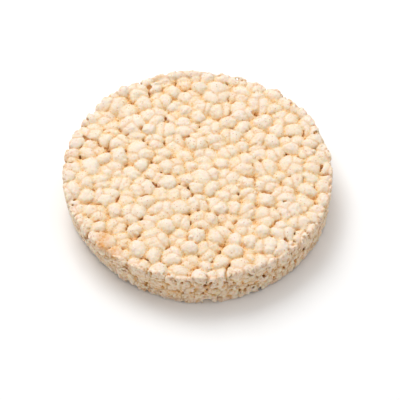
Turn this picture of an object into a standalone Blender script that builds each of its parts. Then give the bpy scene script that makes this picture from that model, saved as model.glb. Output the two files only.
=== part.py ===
"""Puffed rice cake: a round cake of puffed rice grains, swollen and fused in a ring mould.

The upper face is a close pack of rounded grains, the underside is the same pack pressed flat
by the hot plate, and the side is the ring mould's wall, which leans in a little towards the
underside, with clefts between grains.
Metres, +Z up, with the origin at the middle of the underside.
"""

import math

import bmesh
import bpy
import numpy as np
from mathutils.geometry import delaunay_2d_cdt

# Driving dimensions
CAKE_RADIUS = 0.046
CAKE_THICKNESS = 0.0155
GRAIN_COUNT = 176  # grains in each face
LARGEST_GRAIN = 0.0043  # in-plane radius of a grain
SMALLEST_GRAIN = 0.0023
GRAIN_SWELL = 1.16  # how far a grain's own outline runs past its share of the face
GRAIN_RISE = 0.0033  # half the height of a grain
CLEFT_DEPTH = 0.0024  # deepest a cleft gets below the grains round it
SUNK_GRAIN = 0.0009  # how far the lowest grain's top lies below the highest one's
PLATE_PRESS = 0.00055  # how far the hot plate flattened the underside's grains
RING_COUNT = 46  # grains of the ring that only the wall shows, between the two faces
RING_GRAIN = 0.0030
RING_TURN_PLAY = 0.6  # most that a ring grain is turned out of place, as a share of the even gap
RING_SIZE_PLAY = 0.15  # most that its radius differs from RING_GRAIN, as a share
RING_LEVEL_PLAY = 0.25  # most that it lies above or below half height, as a share of its radius
WALL_CLEFT = 0.0007  # how far the wall steps in between two grains
WALL_LEAN = 0.0014  # how much less the wall's radius is at the underside than at the top
WALL_WAVE = 0.00035  # how uneven the cake's round outline is
WAVES = ((3, 0.7, 1.0), (5, 2.1, 0.8), (8, 0.0, 0.7))  # each wave's count, start and share

# Mesh fineness
RIM_POINTS = 144
SHOULDER_POINTS = 5  # points round each grain, at the shares of its radius that the next two give
UPPER_SHOULDER = 0.55
UNDER_SHOULDER = 0.60
WALL_ROWS = 5
WALL_MARGIN = 0.0003  # gap in height between a face's deepest cleft and the nearest wall row
RIM_CLEARANCE = 0.0011  # no inner point lies nearer the rim than this
CLOSEST_POINTS = 0.0004
MM = 0.001
TRIANGLE_TOLERANCE = 1e-5  # in millimetres
CLEFT_WIDTH = 0.25  # share of a grain's outline over which the wall steps in

TOP_SEED = 11
UNDER_SEED = 23
RING_SEED = 5
PLACE_TRIES = 40
SETTLE_STEPS = 60
SETTLE_PACE = 0.3
RIM_REACH = 0.62  # share of its own radius that a grain keeps between its middle and the mould

CRUMB_COLOUR = (0.92, 0.76, 0.55, 1.0)
CRUMB_ROUGHNESS = 0.75


def clear_scene():
    for obj in list(bpy.data.objects):
        bpy.data.objects.remove(obj)


def pack_grains(seed):
    """Grain middles (x, y) and radii over the round face, the largest placed first.

    Each grain takes the roomiest of a few random places, and then all push each other apart.
    """
    rng = np.random.default_rng(seed)
    radii = np.linspace(LARGEST_GRAIN, SMALLEST_GRAIN, GRAIN_COUNT)
    reach = CAKE_RADIUS - RIM_REACH * radii
    middles = np.zeros((GRAIN_COUNT, 2))
    for i in range(GRAIN_COUNT):
        far = reach[i] * np.sqrt(rng.random(PLACE_TRIES))
        turn = math.tau * rng.random(PLACE_TRIES)
        tries = np.column_stack((far * np.cos(turn), far * np.sin(turn)))
        apart = np.linalg.norm(tries[:, None] - middles[None, :i], axis=2) - radii[:i]
        middles[i] = tries[apart.min(axis=1).argmax()] if i else tries[0]
    for _ in range(SETTLE_STEPS):
        gap = middles[:, None] - middles[None]
        apart = np.linalg.norm(gap, axis=2) + np.eye(GRAIN_COUNT)
        overlap = np.clip(radii[:, None] + radii[None] - apart, 0, None)
        np.fill_diagonal(overlap, 0)
        middles += SETTLE_PACE * (gap / apart[..., None] * overlap[..., None]).sum(axis=1)
        out = np.linalg.norm(middles, axis=1)
        middles *= np.minimum(1, reach / np.maximum(out, 1e-9))[:, None]
    return middles, radii


def grain_tops(seed):
    """How far each grain's top lies below the face's highest level."""
    rng = np.random.default_rng(seed + 1)
    return SUNK_GRAIN * rng.random(GRAIN_COUNT) ** 2


def share_from_middle(places, middles, radii):
    """Distance of each place from each grain's middle, as a share of the grain's outline."""
    apart = np.linalg.norm(places[:, None] - middles[None], axis=2)
    return apart / (GRAIN_SWELL * radii)


def depth_below_top(places, middles, radii, sunk):
    """How far the packed grains' surface lies below the face's highest level at each place."""
    share = share_from_middle(places, middles, radii)
    dome = GRAIN_RISE * (1 - np.sqrt(np.clip(1 - share**2, 0, None)))
    return np.minimum((sunk + dome).min(axis=1), CLEFT_DEPTH)


def ring_grains():
    """Middles (x, y, z) and radii of the ring of grains between the two faces' own."""
    rng = np.random.default_rng(RING_SEED)
    even = np.arange(RING_COUNT)
    turn = (even + RING_TURN_PLAY * rng.random(RING_COUNT)) / RING_COUNT * math.tau
    radii = RING_GRAIN * (1 + RING_SIZE_PLAY * (2 * rng.random(RING_COUNT) - 1))
    out = CAKE_RADIUS - RIM_REACH * radii
    level = CAKE_THICKNESS / 2 + RING_LEVEL_PLAY * radii * (2 * rng.random(RING_COUNT) - 1)
    return np.column_stack((out * np.cos(turn), out * np.sin(turn), level)), radii


def mould_grains():
    """Middles (x, y, z) and radii of all the grains that the ring mould's wall can cut."""
    grains, sizes = ring_grains()
    faces = ((TOP_SEED, CAKE_THICKNESS - GRAIN_RISE), (UNDER_SEED, GRAIN_RISE - PLATE_PRESS))
    for seed, level in faces:
        middles, radii = pack_grains(seed)
        grains = np.concatenate((grains, np.insert(middles, 2, level, axis=1)))
        sizes = np.concatenate((sizes, radii))
    return grains, sizes


def cleft_share(places, middles, radii):
    """1 where a place lies midway between two grains and 0 from well inside one."""
    share = np.sort(share_from_middle(places, middles, radii), axis=1)
    return np.clip(1 - (share[:, 1] - share[:, 0]) / CLEFT_WIDTH, 0, 1)


def lean(level):
    """How far the wall leans in at this level."""
    return WALL_LEAN * (1 - level / CAKE_THICKNESS)


def wall_outline(level, grains, sizes):
    """The wall's outline at one level: round, a little wavy, and stepped in at each cleft."""
    turn = np.arange(RIM_POINTS) / RIM_POINTS * math.tau
    wave = sum(share * np.sin(count * turn + start) for count, start, share in WAVES)
    most = sum(share for count, start, share in WAVES)
    ring = np.column_stack((np.cos(turn), np.sin(turn)))
    places = np.insert(CAKE_RADIUS * ring, 2, level, axis=1)
    inset = WALL_WAVE * (wave + most) / (2 * most) + WALL_CLEFT * cleft_share(places, grains, sizes)
    return ring * (CAKE_RADIUS - lean(level) - inset)[:, None]


def thinned(places, reach):
    """Places with any left out that crowd an earlier one, or lie further out than reach."""
    kept = []
    for place in places:
        inside = np.linalg.norm(place) < reach
        crowded = kept and np.linalg.norm(np.array(kept) - place, axis=1).min() < CLOSEST_POINTS
        if inside and not crowded:
            kept.append(place)
    return np.array(kept)


def triangles_over(places, outline):
    """Blender's Delaunay triangles over flat places, inside the outline's edges if it has any.

    They are made in millimetres, so that Blender's tolerance fits.
    """
    inside = 1 if outline else 0
    flat = [tuple(place / MM) for place in places]
    found = delaunay_2d_cdt(flat, outline, [], inside, TRIANGLE_TOLERANCE)
    return np.array(found[0]) * MM, [list(face) for face in found[2]]


def face_places(middles, radii, shoulder, rim):
    """Points of one face: each grain's middle and shoulder, then the clefts and pits between."""
    turn = np.arange(SHOULDER_POINTS) / SHOULDER_POINTS * math.tau
    ring = np.column_stack((np.cos(turn), np.sin(turn)))
    shoulders = [m + shoulder * r * ring for m, r in zip(middles, radii)]
    _, cells = triangles_over(middles, [])
    pits = [middles[cell].mean(axis=0) for cell in cells]
    pairs = sorted({tuple(sorted((c[i], c[i - 1]))) for c in cells for i in range(3)})
    clefts = []
    for a, b in pairs:
        along = radii[a] / (radii[a] + radii[b])
        clefts.append(middles[a] + along * (middles[b] - middles[a]))
    narrowest = np.linalg.norm(rim, axis=1).min()
    inner = thinned(np.concatenate((middles, *shoulders, pits, clefts)), narrowest - RIM_CLEARANCE)
    return np.concatenate((rim, inner))


def add_face(mesh, seed, shoulder, height, rim):
    """One relief face, from the rim inwards. Returns its rim vertices in order."""
    middles, radii = pack_grains(seed)
    sunk = grain_tops(seed)
    loop = [(i, (i + 1) % RIM_POINTS) for i in range(RIM_POINTS)]
    places, faces = triangles_over(face_places(middles, radii, shoulder, rim), loop)
    levels = height(depth_below_top(places, middles, radii, sunk))
    verts = [mesh.verts.new((*place, level)) for place, level in zip(places, levels)]
    for face in faces:
        mesh.faces.new([verts[i] for i in face])
    turn = np.arctan2(places[:RIM_POINTS, 1], places[:RIM_POINTS, 0]) % math.tau
    return [verts[i] for i in np.argsort(turn)]


def upper_level(depth):
    return CAKE_THICKNESS - depth


def under_level(depth):
    return np.clip(depth - PLATE_PRESS, 0, None)


def wall_rows(mesh, grains, sizes):
    """Rings of vertices up the wall, between the two faces' rims."""
    lowest = CLEFT_DEPTH + WALL_MARGIN
    rows = []
    for level in np.linspace(lowest, CAKE_THICKNESS - lowest, WALL_ROWS):
        outline = wall_outline(level, grains, sizes)
        rows.append([mesh.verts.new((*place, level)) for place in outline])
    return rows


def build_cake():
    mesh = bmesh.new()
    grains, sizes = mould_grains()
    upper_outline = wall_outline(CAKE_THICKNESS - GRAIN_RISE / 2, grains, sizes)
    under_outline = wall_outline(GRAIN_RISE / 2, grains, sizes)
    upper_rim = add_face(mesh, TOP_SEED, UPPER_SHOULDER, upper_level, upper_outline)
    under_rim = add_face(mesh, UNDER_SEED, UNDER_SHOULDER, under_level, under_outline)
    rows = [under_rim, *wall_rows(mesh, grains, sizes), upper_rim]
    for low, high in zip(rows, rows[1:]):
        for i in range(RIM_POINTS):
            j = (i + 1) % RIM_POINTS
            mesh.faces.new((low[i], low[j], high[j], high[i]))
    bmesh.ops.triangulate(mesh, faces=mesh.faces[:])
    bmesh.ops.recalc_face_normals(mesh, faces=mesh.faces[:])
    data = bpy.data.meshes.new("rice_cake")
    mesh.to_mesh(data)
    mesh.free()
    return data


def centre_on_origin(data):
    """Puts the middle of the cake's box, across X and Y, on the origin."""
    points = np.array([vert.co for vert in data.vertices])
    middle = (points.min(axis=0) + points.max(axis=0)) / 2
    for vert in data.vertices:
        vert.co.x -= middle[0]
        vert.co.y -= middle[1]


def crumb_material():
    material = bpy.data.materials.new("puffed_rice")
    material.use_nodes = True
    shader = material.node_tree.nodes["Principled BSDF"]
    shader.inputs["Base Color"].default_value = CRUMB_COLOUR
    shader.inputs["Roughness"].default_value = CRUMB_ROUGHNESS
    shader.inputs["Metallic"].default_value = 0.0
    return material


def main():
    clear_scene()
    data = build_cake()
    centre_on_origin(data)
    data.materials.append(crumb_material())
    collection = bpy.data.collections.new("puffed_rice_cake")
    bpy.context.scene.collection.children.link(collection)
    collection.objects.link(bpy.data.objects.new("rice_cake", data))


main()
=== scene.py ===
import math

import bpy
import numpy as np
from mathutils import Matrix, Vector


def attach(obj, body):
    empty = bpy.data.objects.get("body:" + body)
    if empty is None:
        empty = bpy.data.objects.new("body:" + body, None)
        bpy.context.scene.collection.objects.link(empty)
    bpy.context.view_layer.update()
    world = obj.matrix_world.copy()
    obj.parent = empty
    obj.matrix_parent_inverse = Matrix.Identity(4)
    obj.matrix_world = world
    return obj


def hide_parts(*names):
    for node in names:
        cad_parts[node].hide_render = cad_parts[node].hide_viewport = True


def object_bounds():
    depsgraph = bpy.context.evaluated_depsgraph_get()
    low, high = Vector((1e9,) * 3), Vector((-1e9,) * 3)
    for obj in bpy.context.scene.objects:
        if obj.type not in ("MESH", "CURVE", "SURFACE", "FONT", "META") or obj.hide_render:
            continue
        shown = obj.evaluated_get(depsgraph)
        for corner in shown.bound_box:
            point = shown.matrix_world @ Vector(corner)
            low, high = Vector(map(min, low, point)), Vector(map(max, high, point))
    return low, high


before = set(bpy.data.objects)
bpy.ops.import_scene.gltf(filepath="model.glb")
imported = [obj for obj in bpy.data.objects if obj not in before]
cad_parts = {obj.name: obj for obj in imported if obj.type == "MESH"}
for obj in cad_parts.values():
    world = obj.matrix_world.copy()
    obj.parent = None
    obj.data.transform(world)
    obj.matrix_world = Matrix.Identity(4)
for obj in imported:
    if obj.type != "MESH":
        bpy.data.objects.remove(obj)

import openvdb
from mathutils import Vector

cad_low, cad_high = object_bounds()


# Rice grains. Whole rice is soaked, dried and poured loose into a hot ring mould: one layer lies
# against each hot plate, and a ring of grains shows between them in the side. Each grain takes a
# roomy place and then all push apart. Lengths are in millimetres from the middle of the base.

MM = 0.001
CAKE_RADIUS = (cad_high.x - cad_low.x) / 2 / MM
CAKE_THICKNESS = (cad_high.z - cad_low.z) / MM
MOULD_RADIUS = 46.0
LAYER_COUNT = 176
LARGEST_GRAIN = 4.3
SMALLEST_GRAIN = 2.3
RIM_REACH = 0.62  # share of its radius that a grain keeps between its middle and the mould
PLACE_TRIES = 40
SETTLE_STEPS = 60
SETTLE_PACE = 0.3
TOP_SEED = 11
UNDER_SEED = 23
RING_COUNT = 46
RING_GRAIN = 3.0
RING_TURN_PLAY = 0.6  # most that a ring grain is turned out of place, as a share of the even gap
RING_SIZE_PLAY = 0.15
RING_LEVEL_PLAY = 0.25
RING_SEED = 5


def pour_layer(seed):
    """Middles (x, y) and radii of one layer's grains, the largest first."""
    rng = np.random.default_rng(seed)
    radii = np.linspace(LARGEST_GRAIN, SMALLEST_GRAIN, LAYER_COUNT)
    reach = MOULD_RADIUS - RIM_REACH * radii
    middles = np.zeros((LAYER_COUNT, 2))
    for i in range(LAYER_COUNT):
        far = reach[i] * np.sqrt(rng.random(PLACE_TRIES))
        turn = math.tau * rng.random(PLACE_TRIES)
        tries = np.column_stack((far * np.cos(turn), far * np.sin(turn)))
        apart = np.linalg.norm(tries[:, None] - middles[None, :i], axis=2) - radii[:i]
        middles[i] = tries[apart.min(axis=1).argmax()] if i else tries[0]
    for _ in range(SETTLE_STEPS):
        gap = middles[:, None] - middles[None]
        apart = np.linalg.norm(gap, axis=2) + np.eye(LAYER_COUNT)
        overlap = np.clip(radii[:, None] + radii[None] - apart, 0, None)
        np.fill_diagonal(overlap, 0)
        middles += SETTLE_PACE * (gap / apart[..., None] * overlap[..., None]).sum(axis=1)
        out = np.linalg.norm(middles, axis=1)
        middles *= np.minimum(1, reach / np.maximum(out, 1e-9))[:, None]
    return middles, radii


def pour_ring(seed):
    """Middles (x, y, z) and radii of the ring of grains between the two layers."""
    rng = np.random.default_rng(seed)
    even = np.arange(RING_COUNT)
    turn = (even + RING_TURN_PLAY * rng.random(RING_COUNT)) / RING_COUNT * math.tau
    radii = RING_GRAIN * (1 + RING_SIZE_PLAY * (2 * rng.random(RING_COUNT) - 1))
    out = MOULD_RADIUS - RIM_REACH * radii
    level = CAKE_THICKNESS / 2 + RING_LEVEL_PLAY * radii * (2 * rng.random(RING_COUNT) - 1)
    return np.column_stack((out * np.cos(turn), out * np.sin(turn), level)), radii


# Puffing. When the plates part, the water in each grain flashes to steam and blows its starch up
# into a full dome of one to three lobes with creases between, now and then with a small bud.

GRAIN_SWELL = 1.48
RISE_SHARE = 0.95
RISE_LEAST = 1.2
SUNK_GRAIN = 0.9
PLATE_PRESS = 0.8  # how far the lower plate flattened the underside's grains
LONGEST_SINGLE = 0.15
TWO_LOBES_FROM = 3.4
THREE_LOBES_FROM = 2.3
THREE_LOBES_RANGE = 1.6
PAIR_OFFSET, PAIR_SIZE = 0.30, 0.88
TRIPLE_OFFSET, TRIPLE_SIZE = 0.36, 0.83
LOBE_PLAY = 0.12
LOBE_TURN_PLAY = 0.35
LOBE_LOWEST = 0.5
LOBE_RISE, LOBE_SPREAD = 0.7, 0.3  # how far a lobe's height follows its grain's rise, and its own width
LOBE_NARROW, LOBE_LONG = 0.95, 1.08
BUD_CHANCE = 0.35
BUD_SIZE = 0.4
BUD_PLAY = 0.2
BUD_OFFSET = 0.6
BUD_OFFSET_PLAY = 0.3
BUD_STAND = 1.3
BUD_LENGTH = 1.2
BUD_LOWEST = 0.9
PUFF_SEED = 3

puff_rng = np.random.default_rng(PUFF_SEED)


def rise_of(radius):
    """How far a puffed grain of this radius stands above its own middle."""
    return RISE_SHARE * radius + RISE_LEAST


def puffed_grains():
    """Each grain as (x, y, z, radius, side): side is 1 on top, -1 underneath, 0 in the ring."""
    top, top_radii = pour_layer(TOP_SEED)
    under, under_radii = pour_layer(UNDER_SEED)
    ring, ring_radii = pour_ring(RING_SEED)
    sunk = SUNK_GRAIN * np.random.default_rng(TOP_SEED + 1).random(LAYER_COUNT) ** 2
    raised = SUNK_GRAIN * np.random.default_rng(UNDER_SEED + 1).random(LAYER_COUNT) ** 2
    top_level = CAKE_THICKNESS - rise_of(top_radii) - sunk
    under_level = rise_of(under_radii) - PLATE_PRESS + raised
    ones = np.ones(LAYER_COUNT)
    return np.concatenate((
        np.column_stack((top, top_level, top_radii, ones)),
        np.column_stack((under, under_level, under_radii, -ones)),
        np.column_stack((ring, ring_radii, np.zeros(RING_COUNT))),
    ))


def puffed_lobes(x, y, z, radius, side):
    """The grain's lobes and bud, each as (middle, radii, turn)."""
    rng = puff_rng
    wide = GRAIN_SWELL * radius
    rise = rise_of(radius) if side else wide
    turn = math.tau * rng.random()
    third = rng.random() < (radius - THREE_LOBES_FROM) / THREE_LOBES_RANGE
    count = 1 + (radius > TWO_LOBES_FROM) + third
    stretch = 1 + LONGEST_SINGLE * rng.random()
    if count == 1:
        lobes = [((x, y, z), (wide * stretch, wide / stretch, rise), turn)]
    else:
        lobes = []
        offset, share = (PAIR_OFFSET, PAIR_SIZE) if count == 2 else (TRIPLE_OFFSET, TRIPLE_SIZE)
        for k in range(count):
            around = turn + (k + LOBE_TURN_PLAY * rng.random()) * math.tau / count
            size = wide * (share + LOBE_PLAY * rng.random())
            tall = rise * LOBE_RISE + size * LOBE_SPREAD
            up = side * (rise - tall - LOBE_LOWEST * rng.random())
            off = offset * radius
            middle = (x + off * math.cos(around), y + off * math.sin(around), z + up)
            lobes.append((middle, (size * LOBE_NARROW, size * LOBE_LONG, tall), around))
    if rng.random() < BUD_CHANCE:
        around = math.tau * rng.random()
        size = radius * (BUD_SIZE + BUD_PLAY * rng.random())
        off = radius * (BUD_OFFSET + BUD_OFFSET_PLAY * rng.random())
        up = side * (rise - size * BUD_STAND - BUD_LOWEST * rng.random())
        middle = (x + off * math.cos(around), y + off * math.sin(around), z + up)
        lobes.append((middle, (size * BUD_LENGTH, size, size * BUD_LENGTH), around))
    return lobes


# Crumb. The puffed grains press into one another and weld where they touch. The space round them
# is a grid of cells: each cell holds how far it lies outside the nearest two grains, and so how
# near it is to the seam between them. Random lumps over the grid bend and roughen every shape.

CELL = 0.30
MARGIN = 1.4
FAR = 9.0
WARPS = ((5.0, 0.30), (2.4, 0.06))  # size of the lumps that bend the grains, and how far they do
WARP_SEED = 40
LEVEL_WARP = 0.4  # share of the bend that also raises and lowers
FULLNESS = 2.05  # 2 is an ellipsoid's profile; more is a flatter top and steeper flanks
LOBE_BLEND = 0.5
CREASE_WIDTH = 0.2

half = CAKE_RADIUS + MARGIN
line_x = np.arange(-half, half, CELL, dtype=np.float32)
line_z = np.arange(-MARGIN, CAKE_THICKNESS + MARGIN, CELL, dtype=np.float32)
lines = (line_x, line_x, line_z)
shape = tuple(len(line) for line in lines)
cell_x, cell_y, cell_z = np.meshgrid(*lines, indexing="ij", sparse=True)


def spline_rows(count, knots):
    """Weights of cubic B-spline knots at evenly spaced places."""
    place = np.linspace(1, knots - 2.001, count)
    whole = place.astype(int)
    t = place - whole
    weights = ((1 - t) ** 3, 3 * t**3 - 6 * t**2 + 4, -3 * t**3 + 3 * t**2 + 3 * t + 1, t**3)
    rows = np.zeros((count, knots + 1), np.float32)
    for k, weight in enumerate(weights):
        rows[np.arange(count), whole - 1 + k] = weight / 6
    return rows


def lumps(size, seed):
    """Smooth random values over the grid, of unit spread, with lumps about size across.

    Each seed gives its own lumps, and a seed used twice gives the same ones.
    """
    knots = [max(4, int(n * CELL / size * 2) + 3) for n in shape]
    values = np.random.default_rng(seed).standard_normal([k + 1 for k in knots])
    values = values.astype(np.float32)
    for axis in range(3):
        values = np.tensordot(spline_rows(shape[axis], knots[axis]), values, axes=(1, axis))
        values = np.moveaxis(values, 0, axis)
    return values / values.std()


def hump(value, width):
    """1 where value is 0, falling to nothing within about twice the width."""
    return np.exp(-((value / width) ** 2))


def rising(value, start, end):
    """0 up to start, 1 from end on, and a straight rise between."""
    return np.clip((value - start) / (end - start), 0, 1)


def meeting(one, two, rounding):
    """Where two solids overlap, with the edge between them rounded."""
    u = one + rounding
    v = two + rounding
    corner = np.hypot(np.maximum(u, 0), np.maximum(v, 0))
    return np.minimum(np.maximum(u, v), 0) + corner - rounding


def lobe_gap(px, py, pz, middle, radii, turn):
    """About how far each place lies outside one lobe."""
    dx, dy, dz = px - middle[0], py - middle[1], pz - middle[2]
    c, s = math.cos(turn), math.sin(turn)
    u = (dx * c + dy * s) / radii[0]
    v = (dy * c - dx * s) / radii[1]
    w = dz / radii[2]
    flat = (u * u + v * v) ** (FULLNESS / 2)
    share = (flat + np.abs(w) ** FULLNESS) ** (1 / FULLNESS)
    steep = np.sqrt((u / radii[0]) ** 2 + (v / radii[1]) ** 2 + (w / radii[2]) ** 2)
    return share * (share - 1) / (steep + 1e-6)


grains = puffed_grains()
warp = [sum(far * lumps(size, WARP_SEED + 10 * i + k) for i, (size, far) in enumerate(WARPS))
        for k in range(3)]
warp[2] *= LEVEL_WARP
nearest = np.full(shape, FAR, np.float32)
second = np.full(shape, FAR, np.float32)
owner = np.full(shape, -1, np.int16)
other = np.full(shape, -1, np.int16)
crease = np.zeros(shape, np.float32)

for number, grain in enumerate(grains):
    lobes = puffed_lobes(*grain)
    low = np.min([np.array(middle) - max(radii) for middle, radii, _ in lobes], axis=0) - MARGIN
    high = np.max([np.array(middle) + max(radii) for middle, radii, _ in lobes], axis=0) + MARGIN
    box = tuple(slice(*np.searchsorted(line, ends)) for line, ends in zip(lines, zip(low, high)))
    px = cell_x[box[0]] + warp[0][box]
    py = cell_y[:, box[1]] + warp[1][box]
    pz = cell_z[:, :, box[2]] + warp[2][box]
    best = np.full(px.shape, FAR, np.float32)
    runner = best.copy()
    for lobe in lobes:
        gap = lobe_gap(px, py, pz, *lobe)
        runner = np.minimum(runner, np.maximum(best, gap))
        best = np.minimum(best, gap)
    blend = np.clip(0.5 - 0.5 * (runner - best) / LOBE_BLEND, 0, 1)
    body = best - LOBE_BLEND * blend * blend
    fold = hump((runner - best) / 2, CREASE_WIDTH)
    one, two, own, oth = nearest[box], second[box], owner[box], other[box]
    closer = body < one
    nearer = ~closer & (body < two)
    second[box] = np.where(closer, one, np.where(nearer, body, two))
    other[box] = np.where(closer, own, np.where(nearer, number, oth))
    crease[box] = np.where(closer, fold, crease[box])
    owner[box] = np.where(closer, number, own)
    nearest[box] = np.where(closer, body, one)


# Seams and creases. Neighbours weld along a narrow rounded cleft, and most grains weld to their
# nearest neighbour so fully that only a shallow crease is left. The bottoms of the clefts are closed
# by the crumb underneath. Skins are finely lumpy, wrinkled and, near the rim, torn into crumbs.

WELD_CHANCE = 0.85
WELD_BLEND = 1.4
WELD_CREASE = 0.45
WELD_WIDTH = 0.3
CLEFT_ROUNDING = 0.45
CLEFT_CLOSING = -0.26
CLEFT_PLAY = 0.12
CLEFT_PATCH = 3.0  # size of the lumps over which the clefts get deeper and shallower
CREASE_DEPTH = 0.3
CORE_TOP = 2.8  # depth of the crumb that closes the clefts
CORE_UNDER = 2.3
CORE_RIM = 1.2
CORE_LUMP = 0.45
CORE_LUMP_SIZE = 2.2
SKIN_LUMPS = ((1.3, 0.04), (0.8, 0.03))
PUCKERS = ((1.9, 0.20), (1.2, 0.13))  # size of the bubbles under the skin, depth of the pucker between
WRINKLE_WIDTH = 0.12
WRINKLE_PATCH = 2.6
WRINKLE_DEPTH = 0.14
CRUMB_DEPTH = 0.22
CRUMBS = ((1.15, 0.20, 72), (1.8, 0.12, 73))  # size of the crumbs, width of the lines between, seed
CRUMBLY_RIM = 6.0  # how far in from the rim the grains start to be broken into crumbs
CRUMBLY_FULL = 2.0
CRUMBLY_PATCH = 3.0


def torn_lines(kinds):
    """1 on the lines between crumbs of the given kinds."""
    return np.maximum.reduce([hump(lumps(size, seed), width) for size, width, seed in kinds])


count = len(grains)
apart = np.linalg.norm(grains[:, None, :3] - grains[None, :, :3], axis=2) + 99 * np.eye(count)
welded = np.zeros((count + 1, count + 1), bool)
for i in range(count):
    if puff_rng.random() < WELD_CHANCE:
        j = int(apart[i].argmin())
        welded[i, j] = True
        welded[j, i] = True

border = (second - nearest) / 2
closing = CLEFT_CLOSING + CLEFT_PLAY * lumps(CLEFT_PATCH, 61)
field = meeting(nearest, closing - border, CLEFT_ROUNDING)
blend = np.clip(0.5 - border / WELD_BLEND, 0, 1)
weld = nearest - WELD_BLEND * blend * blend + WELD_CREASE * hump(border, WELD_WIDTH)
field = np.where(welded[owner, other], weld, field)
field += CREASE_DEPTH * crease

turn = np.degrees(np.arctan2(cell_y, cell_x)) % 360
across = np.hypot(cell_x, cell_y)
core_lumps = CORE_LUMP * lumps(CORE_LUMP_SIZE, 62)
core = np.maximum(cell_z - (CAKE_THICKNESS - CORE_TOP + core_lumps), CORE_UNDER + core_lumps - cell_z)
core = np.maximum(core, across - (CAKE_RADIUS - CORE_RIM))
field = np.minimum(field, core)

puckers = [np.abs(lumps(size, 65 + i)) for i, (size, depth) in enumerate(PUCKERS)]
field += sum(depth * np.clip(1 - p, 0, 1) for p, (size, depth) in zip(puckers, PUCKERS))
wrinkle = hump(puckers[0], WRINKLE_WIDTH) * np.clip(lumps(WRINKLE_PATCH, 71), 0, 1)
crumb = torn_lines(CRUMBS)
crumbly = np.clip(0.5 + 0.5 * lumps(CRUMBLY_PATCH, 74), 0, 1)
crumbly = crumbly * rising(across, CAKE_RADIUS - CRUMBLY_RIM, CAKE_RADIUS - CRUMBLY_FULL)
field += sum(depth * lumps(size, 68 + i) for i, (size, depth) in enumerate(SKIN_LUMPS))
field += WRINKLE_DEPTH * wrinkle + CRUMB_DEPTH * crumb * crumbly


# Side. The ring mould presses the outer grains into one upright wall with fine cracks and pinholes.
# It leans in a little towards the base, most at the front left, where the upper grains hang over a
# hollow, and bulges at the back. Stretches of it are given in degrees round the cake.

LEDGE_LOWEST = 4.0
LEDGE_PLAY = 2.0
FILLED_DEPTH = 2.6
FILLED_SEAM = 0.1
LEAN = 1.4
FRONT_TURN, FRONT_SPREAD = 272, 25
FRONT_LEAN_LOSS = 0.45
LEAN_LEFT = 1.0
LEAN_LEFT_TOP = 11.0
LEAN_LEFT_STRETCH = (182, 202, 251, 266)
BACK_BULGE = 0.5
BACK_STRETCH = (98, 113, 152, 172)
UNDERCUT = 0.8
UNDERCUT_STRETCH = (190, 204, 230, 233)
UNDERCUT_ROUNDING = 0.5
OVERHANG_TURN, OVERHANG_LEVEL, OVERHANG_SLOPE = 206, 3.8, 0.2
OVERHANG_PLAY, OVERHANG_LUMP = 0.3, 2.0
WAVE_DEPTH = 0.35
WAVES = ((3, 0.7, 1.0), (5, 2.1, 0.8), (8, 0.0, 0.7))
GRAIN_STEP = 0.18
SEAM_DEPTH = 0.16
SEAM_WIDTH = 0.25
WALL_CREASE = 0.3
CRACK_DEPTH = 0.9
CRACKS = ((2.8, 0.13, 81), (1.8, 0.11, 73))  # distance between cracks, width of a crack, seed
CRACK_SHARE, CRACK_SHARE_PLAY = 0.8, 0.5
CRACK_PATCH = 3.0
PINHOLE_SIZE = 1.5
PINHOLE_FROM = 1.15
PINHOLE_DEPTH = 2.3
WALL_LUMP, WALL_LUMP_SIZE = 0.12, 1.2


def along(start, full, fade, end):
    """1 along a stretch of the wall, falling to 0 at its two ends."""
    return rising(turn, start, full) * (1 - rising(turn, fade, end))


own_share = np.append(puff_rng.random(count), 0.0).astype(np.float32)[owner]
ledge = CAKE_THICKNESS - LEDGE_LOWEST + LEDGE_PLAY * own_share
filled_side = np.maximum(CAKE_RADIUS - FILLED_DEPTH - across, cell_z - ledge)
field = np.minimum(field, np.maximum(filled_side, FILLED_SEAM - border))

level_share = 1 - cell_z / CAKE_THICKNESS
lean = LEAN * level_share * (1 - FRONT_LEAN_LOSS * hump(turn - FRONT_TURN, FRONT_SPREAD))
lean = lean + LEAN_LEFT * along(*LEAN_LEFT_STRETCH) * np.clip(1 - cell_z / LEAN_LEFT_TOP, 0, 1)
lean = lean - BACK_BULGE * along(*BACK_STRETCH)
overhang = OVERHANG_LEVEL + (turn - OVERHANG_TURN) * OVERHANG_SLOPE
overhang = overhang + OVERHANG_PLAY * lumps(OVERHANG_LUMP, 75)
undercut = along(*UNDERCUT_STRETCH) * rising(overhang - cell_z, 0, UNDERCUT_ROUNDING)
angle = np.radians(turn)
wave = sum(share * np.sin(times * angle + start) for times, start, share in WAVES)
most = sum(share for times, start, share in WAVES)
wall = CAKE_RADIUS - lean - WAVE_DEPTH * (wave + most) / (2 * most) - GRAIN_STEP * own_share
wall = wall - SEAM_DEPTH * hump(border, SEAM_WIDTH) - WALL_CREASE * crease - UNDERCUT * undercut
crack = torn_lines(CRACKS)
crack_share = np.clip(CRACK_SHARE + CRACK_SHARE_PLAY * lumps(CRACK_PATCH, 77), 0, 1)
pinholes = np.clip(lumps(PINHOLE_SIZE, 76) - PINHOLE_FROM, 0, 1)
wall = wall - CRACK_DEPTH * crack * crack_share
wall = wall - PINHOLE_DEPTH * pinholes - WALL_LUMP * lumps(WALL_LUMP_SIZE, 78)


# Far lip. Along the far rim the grains have run together into a raised lip with a gully behind it.
# The mould then cuts it and all the other outer grains off at the wall, with an almost sharp edge.

LIP_START, LIP_END, LIP_TAPER = 84, 114, 6
LIP_RADIUS, LIP_IN, LIP_DOWN = 1.9, 1.6, 2.2
LIP_PLAY, LIP_LUMP = 0.15, 2.0
GULLY_RADIUS, GULLY_IN, GULLY_DOWN = 1.2, 5.0, 0.2
EDGE_ROUNDING = 0.28

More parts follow.
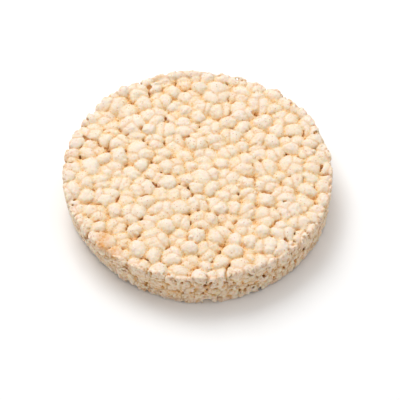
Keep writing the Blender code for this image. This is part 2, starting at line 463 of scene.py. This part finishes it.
on_lip = np.clip(np.minimum(turn - LIP_START, LIP_END - turn) / LIP_TAPER, 0, 1)
lip = np.hypot(across - (CAKE_RADIUS - LIP_IN), cell_z - (CAKE_THICKNESS - LIP_DOWN))
lip = lip - LIP_RADIUS * on_lip - LIP_PLAY * lumps(LIP_LUMP, 79)
gully = np.hypot(across - (CAKE_RADIUS - GULLY_IN), cell_z - (CAKE_THICKNESS - GULLY_DOWN))
gully = gully - GULLY_RADIUS * on_lip
field = np.where(on_lip > 0, np.maximum(np.minimum(field, lip), -gully), field)
field = meeting(field, across - wall, EDGE_ROUNDING)


# Pits and nicks. A few holes run deeper than the clefts: two by the far rim and one further in,
# each where the grains already leave a gap, a hollow in the wall, two nicks at its foot, and a gap in
# the far rim. Each is a turn in degrees, a distance from the middle, a level and a radius.

PITS = ((124.9, 43.8, 13.4, 1.3), (110.0, 41.8, 14.2, 1.1), (55.0, 36.0, 13.4, 1.2))
NICKS = ((230.3, 45.3, 8.7, 1.3), (274.2, 44.2, 0.3, 1.7), (293.6, 44.0, 0.2, 1.3), (82.0, 45.5, 15.0, 1.5))
PIT_SEARCH = 3.0
PIT_LEVEL = 13.5
PIT_HEIGHT = 1.5
PIT_RAGGED = 0.25
PIT_LUMP = 1.5
BASE_ROUNDING = 0.5


def at_turn(degrees, out):
    """Place (x, y) at a turn round the cake and a distance from its middle."""
    return out * math.cos(math.radians(degrees)), out * math.sin(math.radians(degrees))


def widest_gap(x, y):
    """The place near (x, y) that lies furthest outside the grains."""
    near = np.hypot(line_x[:, None] - x, line_x[None] - y) < PIT_SEARCH
    level = field[:, :, int(np.searchsorted(line_z, PIT_LEVEL))]
    i, j = np.unravel_index(np.where(near, level, -FAR).argmax(), level.shape)
    return line_x[i], line_x[j]


ragged = PIT_RAGGED * lumps(PIT_LUMP, 80)
holes = [(*widest_gap(*at_turn(degrees, out)), level, size) for degrees, out, level, size in PITS]
holes += [(*at_turn(degrees, out), level, size) for degrees, out, level, size in NICKS]
for x, y, level, size in holes:
    away = np.sqrt((cell_x - x) ** 2 + (cell_y - y) ** 2 + ((cell_z - level) / PIT_HEIGHT) ** 2)
    field = np.maximum(field, size - away - ragged)
field = meeting(field, -cell_z, BASE_ROUNDING)


# Skin. Air that can't be reached from outside is filled, the cells are smoothed over about half a
# cell, and the surface is read off them. Its points keep how hollow it is round them, near and far,
# which the starch turns into painted shade, peach to brown, and how near they are to a crease or
# seam, where it has tan lines and, by the seams, more painted shade.

SEAL_STEPS = 30
OPEN_AIR = 0.4  # how far outside the rim the air is surely open
SEALED = -0.3
SMOOTHING = 0.16
BLUR_REACH = 2.5
NEAR_SPREAD = 0.8
FAR_SPREAD = 2.0
PRESSED_FULL, PRESSED_DEPTH = 0.5, 1.3
CRUMB_SHOWN = 0.2
TOAST_SPOTS = ((222.0, 41.5, 2.3), (230.0, 43.0, 2.2), (225.0, 44.5, 1.8))
TOAST_LEVEL = 14.5


def reached_air(air):
    """The part of the air that joins the air outside the cake."""
    outside = (cell_z > CAKE_THICKNESS) | (cell_z < 0) | (across > CAKE_RADIUS + OPEN_AIR)
    reached = air & outside
    for _ in range(SEAL_STEPS):
        grown = reached.copy()
        grown[1:] |= reached[:-1]
        grown[:-1] |= reached[1:]
        grown[:, 1:] |= reached[:, :-1]
        grown[:, :-1] |= reached[:, 1:]
        grown[:, :, 1:] |= reached[:, :, :-1]
        grown[:, :, :-1] |= reached[:, :, 1:]
        reached = grown & air
    return reached


def blurred(values, spread):
    """Gaussian blur over the grid."""
    reach = int(BLUR_REACH * spread / CELL) + 1
    weights = np.exp(-0.5 * (np.arange(-reach, reach + 1) * CELL / spread) ** 2)
    weights = (weights / weights.sum()).astype(np.float32)
    for axis in range(3):
        sides = [(reach, reach) if k == axis else (0, 0) for k in range(3)]
        wide = np.moveaxis(np.pad(values, sides, mode="edge"), axis, 0)
        total = sum(w * wide[k:k + shape[axis]] for k, w in enumerate(weights))
        values = np.moveaxis(total, 0, axis)
    return values


def read_off(values, at):
    """Values read off the grid at places given in cells."""
    whole = np.clip(at.astype(int), 0, np.array(shape) - 2)
    part = at - whole
    total = np.zeros(len(at), np.float32)
    for corner in range(8):
        step = np.array([corner & 1, corner >> 1 & 1, corner >> 2])
        weight = np.prod(np.where(step, part, 1 - part), axis=1)
        total += weight * values[tuple((whole + step).T)]
    return total


air = field > 0
field[air & ~reached_air(air)] = SEALED
field = blurred(field.astype(np.float32), SMOOTHING)
volume = openvdb.FloatGrid(1.0)
volume.copyFromArray(np.ascontiguousarray(field))
points, quads = volume.convertToQuads(0.0)
quads = quads[:, ::-1]
places = points * CELL + np.array([line_x[0], line_x[0], line_z[0]])

solid = np.clip(0.5 - field / CELL, 0, 1).astype(np.float32)
cell_of = tuple(np.clip(np.round(points).astype(int), 0, np.array(shape) - 1).T)
grain_of = owner[cell_of]
toast = np.zeros(len(places))
for degrees, out, size in TOAST_SPOTS:
    spot = np.array((*at_turn(degrees, out), TOAST_LEVEL))
    toast += hump(np.linalg.norm(places - spot, axis=1), size)
wall_gap = read_off(wall.astype(np.float32), points) - np.hypot(places[:, 0], places[:, 1])
surface = {
    "hollow": read_off(blurred(solid, NEAR_SPREAD), points) - 0.5,
    "deep": read_off(blurred(solid, FAR_SPREAD), points) - 0.5,
    "crease": read_off(crease, points),
    "border": read_off(border, points),
    "pressed": 1 - rising(wall_gap, PRESSED_FULL, PRESSED_DEPTH),
    "wrinkle": read_off(np.maximum(wrinkle, crumb * np.clip(CRUMB_SHOWN + crumbly, 0, 1)), points),
    "crack": read_off(crack, points),
    "toast": toast,
    "tint": np.append(puff_rng.random(count), 0.5)[grain_of],
}


# Puffed starch: matt, faintly translucent foam, cream on the domes. Peach on their flanks and yellow to
# brown in the clefts and pits is painted shade, darker the more hollow the skin round a point, near the
# seams between grains and in the wall's hollows; the clefts are partly their own toasted yellow too.
# With tan crease lines, tiny bran specks and two toasted grains at the front left. Cut crumb in the
# wall is paler between its tan cracks. Pores are drawn at 0.7 mm, too coarse.

# The domes' own cream, then painted shade for the flank, cleft, cleft floor and pit, the clefts partly
# their own toasted yellow.
DOME = "f8eadc"
SHOULDER = "f7e5cf"
FLANK_SHADE = "f6dcb8"
CLEFT_SHADE = "f8cf96"
CLEFT_FLOOR_SHADE = "ecb070"
PIT_SHADE = "9c652f"
BRAN = "c98a4a"
WRINKLE_TAN = "dba468"
CREASE_TAN = "e2b278"
SEAM_TAN = "bd8449"
TOAST = "e6a552"
CUT_CRUMB = "fff9ee"
MOTTLE_SIZE = 5.0
GRAIN_OF_SKIN = 0.55
DEPTH_START = 0.40  # place of a flat skin along the ramp from dome to pit, whose darker end is painted shade
DEEP_SHADE_SHARE, HOLLOW_SHADE_SHARE, WALL_HOLLOW_SHADE_SHARE = 1.15, 0.35, 1.5
SEAM_SHADE_REACH = 0.9  # how far from its seams a grain's painted shade reaches
SEAM_SHADE_SHARE = 0.12
MOTTLE_SHARE, GRAINY_SHARE, TINT_SHARE = 0.16, 1.3, 0.14
SPECK_GAP = 1.1
SPECK_RADIUS = 0.2
SPECK_FROM = 0.55  # share of the places for a speck that stay empty
SPECK_STRENGTH = 0.55
WRINKLE_SHARPNESS, WRINKLE_STRENGTH = 1.5, 1.6
CREASE_SHARPNESS, CREASE_STRENGTH = 6, 1.3
SEAM_REACH = 0.3
SEAM_ON_WALL, SEAM_ELSEWHERE = 1.1, 0.12
TOAST_STRENGTH, TOAST_START = 1.5, -0.1
PORE_SIZE, PORE_DEPTH, PORE_STRENGTH = 0.7, 0.5, 0.6
GLOW_SHARE, GLOW_DEPTH, GLOW_REACH = 0.5, (1.0, 0.6, 0.35), 0.9
STARCH_ROUGHNESS = 0.7
STARCH_IOR = 1.45
STARCH_SPECULAR = 0.3


def linear(hex_colour):
    """Linear RGBA of an sRGB hex colour."""
    parts = [int(hex_colour[i:i + 2], 16) / 255 for i in (0, 2, 4)]
    return [p / 12.92 if p <= 0.04045 else ((p + 0.055) / 1.055) ** 2.4 for p in parts] + [1]


def add_node(material, kind, inputs=(), **settings):
    """A node with its settings, and its inputs set to values or linked to other nodes' outputs."""
    tree = material.node_tree
    node = tree.nodes.new("ShaderNode" + kind)
    for name, value in settings.items():
        setattr(node, name, value)
    for socket, source in dict(inputs).items():
        if hasattr(source, "is_output"):
            tree.links.new(source, node.inputs[socket])
        else:
            node.inputs[socket].default_value = source
    return node


def new_material(name):
    material = bpy.data.materials.new(name)
    material.use_nodes = True
    material.node_tree.nodes.clear()
    return material


starch = new_material("puffed_rice_starch")


def kept(name):
    """The value that the mesh keeps under this name."""
    return add_node(starch, "Attribute", attribute_name=name).outputs["Fac"]


def maths(operation, *values, clamp=False):
    node = add_node(starch, "Math", enumerate(values), operation=operation, use_clamp=clamp)
    return node.outputs[0]


def mixed(share, one, two, kind="MIX"):
    node = add_node(starch, "Mix", {0: share, 6: one, 7: two}, data_type="RGBA", blend_type=kind)
    return node.outputs[2]


def noise(size, detail, roughness=0.5):
    """Noise whose lumps are size millimetres across."""
    inputs = {"Vector": spot, "Scale": 1 / (size * MM), "Detail": detail, "Roughness": roughness}
    return add_node(starch, "TexNoise", inputs).outputs[0]


def colour_ramp(value, *stops):
    node = add_node(starch, "ValToRGB", {0: value})
    elements = node.color_ramp.elements
    while len(elements) < len(stops):
        elements.new(1)
    for element, (place, colour) in zip(elements, stops):
        element.position = place
        element.color = linear(colour)
    return node.outputs[0]


def about_zero(value, share):
    """A value from 0 to 1 turned into one that runs half the share to either side of 0."""
    return maths("MULTIPLY_ADD", value, share, -share / 2)


spot = add_node(starch, "TexCoord").outputs["Object"]
mottle = noise(MOTTLE_SIZE, 3)
skin_grain = noise(GRAIN_OF_SKIN, 3, 0.65)
pressed_value = kept("pressed")

# Painted shade near the seams between grains.
edge = maths("SUBTRACT", 1.0, maths("DIVIDE", kept("border"), SEAM_SHADE_REACH), clamp=True)
# Painted shade in the hollows of the wall, its cracks and pinholes.
wall_hollow_shade = maths("MULTIPLY", pressed_value, kept("hollow"))
# Painted shade: the more hollow the skin round a point, near and far, the further it runs along the ramp
# towards brown.
depth = maths("MULTIPLY_ADD", kept("deep"), DEEP_SHADE_SHARE, DEPTH_START)
depth = maths("MULTIPLY_ADD", edge, SEAM_SHADE_SHARE, depth)
depth = maths("MULTIPLY_ADD", kept("hollow"), HOLLOW_SHADE_SHARE, depth)
depth = maths("MULTIPLY_ADD", wall_hollow_shade, WALL_HOLLOW_SHADE_SHARE, depth)
depth = maths("ADD", depth, about_zero(mottle, MOTTLE_SHARE))
depth = maths("ADD", depth, about_zero(skin_grain, GRAINY_SHARE))
depth = maths("ADD", depth, about_zero(kept("tint"), TINT_SHARE))
colour = colour_ramp(depth, (0.05, DOME), (0.35, SHOULDER), (0.55, FLANK_SHADE), (0.72, CLEFT_SHADE),
                     (0.88, CLEFT_FLOOR_SHADE), (1.0, PIT_SHADE))

cells = add_node(starch, "TexVoronoi", {"Vector": spot, "Scale": 1 / (SPECK_GAP * MM)})
picked = add_node(starch, "SeparateColor", {0: cells.outputs["Color"]}).outputs[0]
speck = maths("LESS_THAN", cells.outputs["Distance"], SPECK_RADIUS)
speck = maths("MULTIPLY", speck, maths("GREATER_THAN", picked, SPECK_FROM))
colour = mixed(maths("MULTIPLY", speck, SPECK_STRENGTH), colour, linear(BRAN))

wrinkled = maths("MULTIPLY", mottle, WRINKLE_STRENGTH)
wrinkled = maths("MULTIPLY", maths("POWER", kept("wrinkle"), WRINKLE_SHARPNESS), wrinkled, clamp=True)
colour = mixed(wrinkled, colour, linear(WRINKLE_TAN))
creased = maths("MULTIPLY", skin_grain, CREASE_STRENGTH)
creased = maths("MULTIPLY", maths("POWER", kept("crease"), CREASE_SHARPNESS), creased)
colour = mixed(creased, colour, linear(CREASE_TAN))
seam = maths("SUBTRACT", 1.0, maths("DIVIDE", kept("border"), SEAM_REACH), clamp=True)
seam = maths("MAXIMUM", maths("MULTIPLY", seam, mottle), maths("MULTIPLY", kept("crack"), skin_grain))
seam = maths("MULTIPLY", seam, maths("MULTIPLY_ADD", pressed_value, SEAM_ON_WALL, SEAM_ELSEWHERE))
colour = mixed(seam, colour, linear(SEAM_TAN))
toasted = maths("MULTIPLY_ADD", skin_grain, TOAST_STRENGTH, TOAST_START)
toasted = maths("MULTIPLY", kept("toast"), toasted, clamp=True)
colour = mixed(toasted, colour, linear(TOAST))
cut = mixed(pressed_value, (1, 1, 1, 1), linear(CUT_CRUMB))
colour = mixed(1.0, colour, cut, "MULTIPLY")

pores = add_node(starch, "Bump", {
    "Strength": PORE_STRENGTH, "Distance": PORE_DEPTH * MM, "Height": noise(PORE_SIZE, 4, 0.7)})
shader = add_node(starch, "BsdfPrincipled", {
    "Base Color": colour, "Normal": pores.outputs[0], "Roughness": STARCH_ROUGHNESS,
    "IOR": STARCH_IOR, "Specular IOR Level": STARCH_SPECULAR, "Subsurface Weight": GLOW_SHARE,
    "Subsurface Radius": GLOW_DEPTH, "Subsurface Scale": GLOW_REACH * MM})
add_node(starch, "OutputMaterial", {"Surface": shader.outputs[0]})


# Pieces. The skin is parted along the seams between grains, into the large, middling and small
# grains of each layer and the grains of the side, all shaded as the one surface that they are.

LARGE_SHARE = 0.24
MIDDLING_SHARE = 0.55


def smooth_normals():
    """Normal of the whole surface at each of its points."""
    corners = places[quads]
    facing = np.cross(corners[:, 2] - corners[:, 0], corners[:, 3] - corners[:, 1])
    flat = quads.ravel()
    total = [np.bincount(flat, np.repeat(facing[:, axis], 4), len(places)) for axis in range(3)]
    total = np.column_stack(total)
    return total / np.maximum(np.linalg.norm(total, axis=1), 1e-12)[:, None]


def add_piece(name, faces, normals):
    """One piece of the skin, in the starch, riding on the cake's own part."""
    used, index = np.unique(faces, return_inverse=True)
    mesh = bpy.data.meshes.new(name)
    mesh.vertices.add(len(used))
    mesh.vertices.foreach_set("co", (places[used] * MM).astype(np.float32).ravel())
    mesh.loops.add(faces.size)
    mesh.loops.foreach_set("vertex_index", index.ravel().astype(np.int32))
    mesh.polygons.add(len(faces))
    mesh.polygons.foreach_set("loop_start", np.arange(0, faces.size, 4, dtype=np.int32))
    mesh.polygons.foreach_set("use_smooth", np.ones(len(faces), bool))
    mesh.update()
    for key, values in surface.items():
        attribute = mesh.attributes.new(key, "FLOAT", "POINT")
        attribute.data.foreach_set("value", values[used].astype(np.float32))
    mesh.normals_split_custom_set_from_vertices(normals[used])
    mesh.materials.append(starch)
    piece = bpy.data.objects.new(name, mesh)
    bpy.context.scene.collection.objects.link(piece)
    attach(piece, "root")
    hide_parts("rice_cake")


rank = np.arange(LAYER_COUNT) / LAYER_COUNT
size_class = (rank > LARGE_SHARE).astype(int) + (rank > MIDDLING_SHARE)
piece_of_grain = np.concatenate((size_class, 3 + size_class, np.full(RING_COUNT + 1, 6)))
piece_of_face = piece_of_grain[grain_of[quads[:, 0]]]
normals = smooth_normals()
PIECES = ("top_large_grains", "top_middling_grains", "top_small_grains",
          "under_large_grains", "under_middling_grains", "under_small_grains", "side_grains")
for number, name in enumerate(PIECES):
    add_piece(name, quads[piece_of_face == number], normals)


# Floor: a plain white board under the cake, wide enough to fill every view.

FLOOR_SIZE = 6.0
BOARD_WHITE = "fafafa"
BOARD_ROUGHNESS = 0.9

board = new_material("white_board")
matt = add_node(board, "BsdfPrincipled", {"Base Color": linear(BOARD_WHITE), "Roughness": BOARD_ROUGHNESS})
add_node(board, "OutputMaterial", {"Surface": matt.outputs[0]})
bpy.ops.mesh.primitive_plane_add(size=FLOOR_SIZE)
floor = bpy.context.object
floor.name = "floor"
floor.data.materials.append(board)


# Studio light: an even pale room, a wide soft panel overhead, and a smaller softbox behind the cake
# and to its left, which throws the shadow forward and to the right.

ROOM_STRENGTH = 0.47
LIGHTS = (  # each one's width in metres, power in watts, and place
    ("overhead", 1.2, 4.2, (0.0, 0.25, 1.0)),
    ("softbox", 0.6, 5.1, (-0.3, 0.46, 0.84)),
)

room = bpy.data.worlds.new("studio")
room.use_nodes = True
room.node_tree.nodes["Background"].inputs["Color"].default_value = (1, 1, 1, 1)
room.node_tree.nodes["Background"].inputs["Strength"].default_value = ROOM_STRENGTH
bpy.context.scene.world = room
for name, size, power, place in LIGHTS:
    light = bpy.data.lights.new(name, "AREA")
    light.size = size
    light.energy = power
    lamp = bpy.data.objects.new(name, light)
    lamp.location = place
    lamp.rotation_euler = (-lamp.location).to_track_quat("-Z", "Y").to_euler()
    bpy.context.scene.collection.objects.link(lamp)


# Camera: looks down on the cake from the front, from about an arm's length.

ELEVATION = math.radians(51.0)
DISTANCE = 0.9
TARGET = Vector((0.00068, -0.0053, 0.006))
VIEW_WIDTH = 0.134
SENSOR = 36

camera_data = bpy.data.cameras.new("camera")
camera_data.sensor_width = SENSOR
camera_data.lens = SENSOR * DISTANCE / VIEW_WIDTH
camera_data.clip_start = 0.01
camera = bpy.data.objects.new("camera", camera_data)
camera.location = TARGET + DISTANCE * Vector((0, -math.cos(ELEVATION), math.sin(ELEVATION)))
camera.rotation_euler = (TARGET - camera.location).to_track_quat("-Z", "Y").to_euler()
bpy.context.scene.collection.objects.link(camera)
bpy.context.scene.camera = camera
bpy.context.scene.view_settings.view_transform = "Standard"
